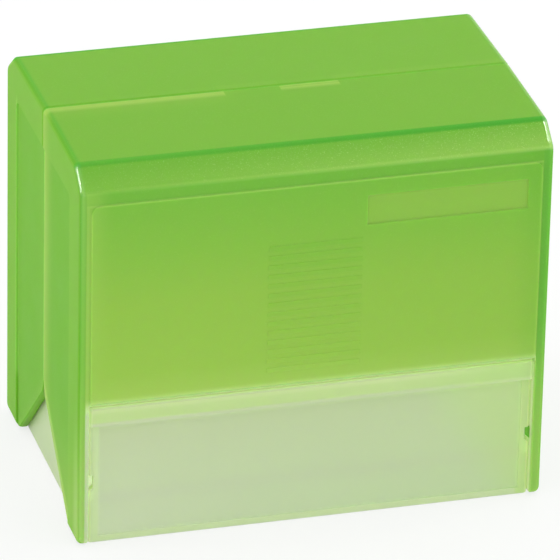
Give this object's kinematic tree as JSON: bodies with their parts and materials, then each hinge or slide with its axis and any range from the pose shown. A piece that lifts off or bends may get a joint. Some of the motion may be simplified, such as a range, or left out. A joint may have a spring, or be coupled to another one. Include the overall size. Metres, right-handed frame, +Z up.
{
  "type": "index card box",
  "caption": "Closed index card box: two identical translucent half shells hinged near the feet of a low frosted tray open apart like jaws.",
  "frame": {"origin": "centre of the tray's flat underside, on the surface that the box stands on", "axes": "+Z up; +X to the right along the box's width, parallel to both hinge lines; -Y towards the front face"},
  "size_m": [0.118, 0.0768, 0.101],
  "materials": {
    "frosted_tray": "frosted, nearly clear natural plastic with a faint green tint",
    "green_shell": "translucent lime green plastic, satin to gloss, finely grained on the bevels"
  },
  "bodies": {
    "tray": {"card_tray": "frosted_tray"},
    "front": {"front_jaw": "green_shell"},
    "rear": {"rear_jaw": "green_shell"}
  },
  "joints": [
    {"name": "front_jaw_hinge", "type": "hinge", "parent": "tray", "child": "front", "pos_m": [0, -0.0336, 0.012], "axis": [1, 0, 0], "range_deg": [0, 45]},
    {"name": "rear_jaw_hinge", "type": "hinge", "parent": "tray", "child": "rear", "pos_m": [0, 0.0336, 0.012], "axis": [-1, 0, 0], "range_deg": [0, 45]}
  ]
}
